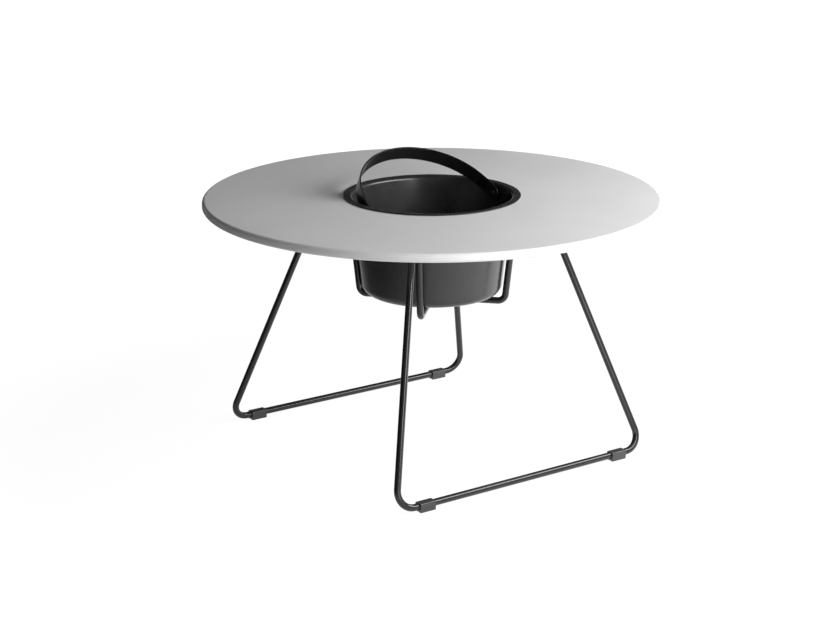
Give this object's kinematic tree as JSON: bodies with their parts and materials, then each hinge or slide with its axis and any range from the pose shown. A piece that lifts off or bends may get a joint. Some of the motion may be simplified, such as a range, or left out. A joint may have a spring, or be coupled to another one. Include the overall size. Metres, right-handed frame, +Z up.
{
  "type": "outdoor side table",
  "caption": "Round side table on bent-rod sled legs, with a lift-out bowl hanging in the middle of the tabletop under a swinging strap handle.",
  "frame": {"origin": "on the floor, under the centre of the tabletop", "axes": "+Z up; +Y along the two floor runs; +X from the left floor run to the right one. Front is -Y, left is -X"},
  "size_m": [0.7999, 0.8, 0.515],
  "materials": {
    "tabletop_board": "light grey semi-gloss lacquered compact board",
    "frame_coating": "black satin powder coat",
    "bowl_coating": "black satin powder coat",
    "bail_coating": "black satin powder coat",
    "glide_plastic": "dark grey moulded, fine grain",
    "rivet_steel": "blackened, worn on the crown",
    "washer_plastic": "dark nylon",
    "insert_brass": "turned",
    "screw_steel": "zinc plated"
  },
  "bodies": {
    "table": {"tabletop": "tabletop_board", "threaded_inserts": "insert_brass", "frame_rod_left": "frame_coating", "frame_rod_right": "frame_coating", "cradle_hub": "frame_coating", "mounting_tab_front_left": "frame_coating", "mounting_tab_front_right": "frame_coating", "mounting_tab_back_left": "frame_coating", "mounting_tab_back_right": "frame_coating", "tab_screws": "screw_steel", "glide_front_left": "glide_plastic", "glide_front_right": "glide_plastic", "glide_back_left": "glide_plastic", "glide_back_right": "glide_plastic"},
    "bowl": {"bowl": "bowl_coating", "pivot_rivet_front": "rivet_steel", "pivot_rivet_back": "rivet_steel", "pivot_spacer_front": "washer_plastic", "pivot_spacer_back": "washer_plastic", "pivot_washer_front": "washer_plastic", "pivot_washer_back": "washer_plastic"},
    "bail": {"bail_handle": "bail_coating"}
  },
  "joints": [
    {"name": "bowl_lift", "type": "slide", "parent": "table", "child": "bowl", "axis": [0, 0, 1], "range_m": [0, 0.22]},
    {"name": "bail_hinge", "type": "hinge", "parent": "bowl", "child": "bail", "pos_m": [0, 0, 0.4372], "axis": [0.0175, 0.9998, 0], "range_deg": [-24, 146]}
  ]
}
